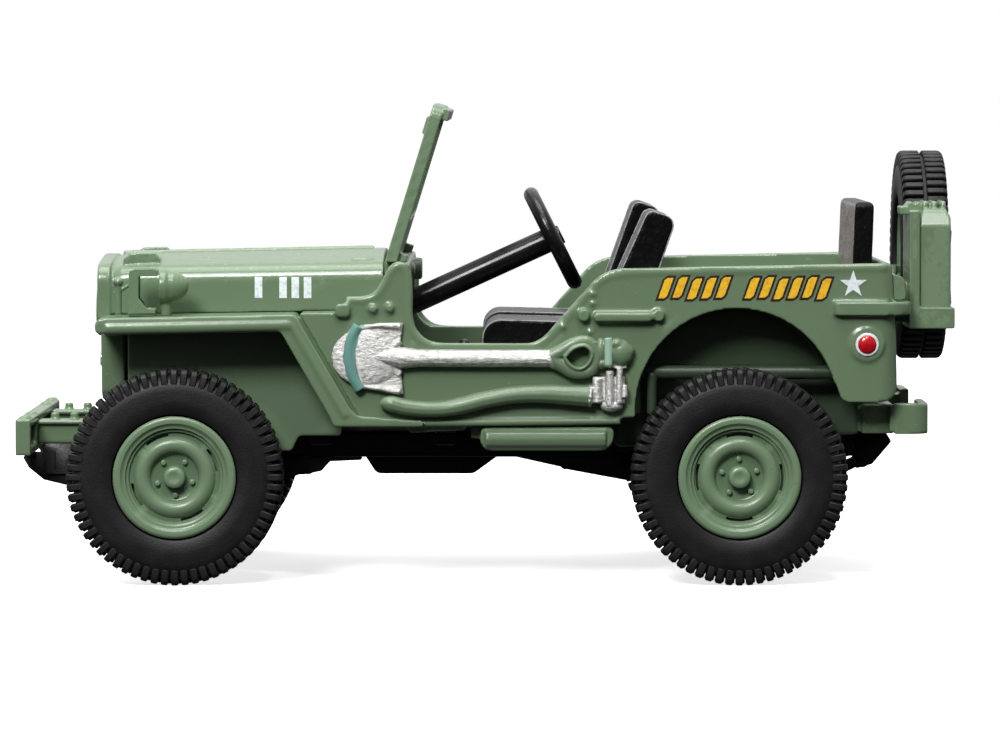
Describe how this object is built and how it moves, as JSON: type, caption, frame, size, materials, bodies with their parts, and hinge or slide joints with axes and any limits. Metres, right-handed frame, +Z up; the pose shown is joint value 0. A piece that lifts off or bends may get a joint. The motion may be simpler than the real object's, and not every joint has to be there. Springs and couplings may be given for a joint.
{
  "type": "die-cast toy army 4x4 car",
  "caption": "Small die-cast model of an open army 4x4 car with a raised windshield, slatted grille, cast-on tools, spare wheel, fuel can and freely rolling wheels.",
  "frame": {"origin": "on the floor, under the middle of the whole model's box", "axes": "+X to the nose, +Y to the car's left side, +Z up"},
  "size_m": [0.0534, 0.0248, 0.0271],
  "materials": {
    "green_paint": "satin enamel over a zinc casting",
    "green_plastic": "satin moulded plastic",
    "black_plastic": "satin moulded plastic",
    "seat_plastic": "satin hard plastic moulded as upholstery",
    "tyre": "matt rubber",
    "clear_plastic": "clear moulded plastic",
    "silver_paint": "grainy silver paint",
    "red_paint": "gloss red paint",
    "steel": "plain drawn wire"
  },
  "bodies": {
    "car": {"tub": "green_paint", "underbody": "green_paint", "front_fenders": "green_paint", "grille": "green_paint", "hood": "green_paint", "hood_latches": "green_paint", "windshield_frame": "green_paint", "windshield_glass": "clear_plastic", "dash_cluster": "green_paint", "grab_handles": "green_paint", "headlights": "silver_paint", "blackout_lamp": "green_paint", "side_reflectors": "red_paint", "tail_lights": "red_paint", "shovel": "silver_paint", "axe": "silver_paint", "fuel_tank_sump": "green_paint", "steering_wheel": "black_plastic", "steering_column": "black_plastic", "driver_seat": "seat_plastic", "passenger_seat": "seat_plastic", "rear_seat": "seat_plastic", "gear_levers": "black_plastic", "chassis_frame": "black_plastic", "frame_horns": "green_paint", "gearbox_skid": "black_plastic", "propeller_shafts": "black_plastic", "silencer": "black_plastic", "front_leaf_springs": "black_plastic", "rear_leaf_springs": "black_plastic", "front_axle_case": "black_plastic", "rear_axle_case": "black_plastic", "front_bumper": "green_paint", "rear_crossmember": "green_paint", "rear_bumperettes": "green_paint", "spare_carrier": "green_paint", "spare_rim": "green_plastic", "spare_tyre": "tyre", "jerry_can": "green_paint", "jerry_can_tray": "green_paint"},
    "front_wheelset": {"front_axle_rod": "steel", "front_left_rim": "green_plastic", "front_right_rim": "green_plastic", "front_left_tyre": "tyre", "front_right_tyre": "tyre"},
    "rear_wheelset": {"rear_axle_rod": "steel", "rear_left_rim": "green_plastic", "rear_right_rim": "green_plastic", "rear_left_tyre": "tyre", "rear_right_tyre": "tyre"}
  },
  "joints": [
    {"name": "front_wheels_roll", "type": "hinge", "parent": "car", "child": "front_wheelset", "pos_m": [0.01765, 0, 0.0061], "axis": [0, 1, 0], "continuous": true},
    {"name": "rear_wheels_roll", "type": "hinge", "parent": "car", "child": "rear_wheelset", "pos_m": [-0.0141, 0, 0.0061], "axis": [0, 1, 0], "continuous": true}
  ]
}
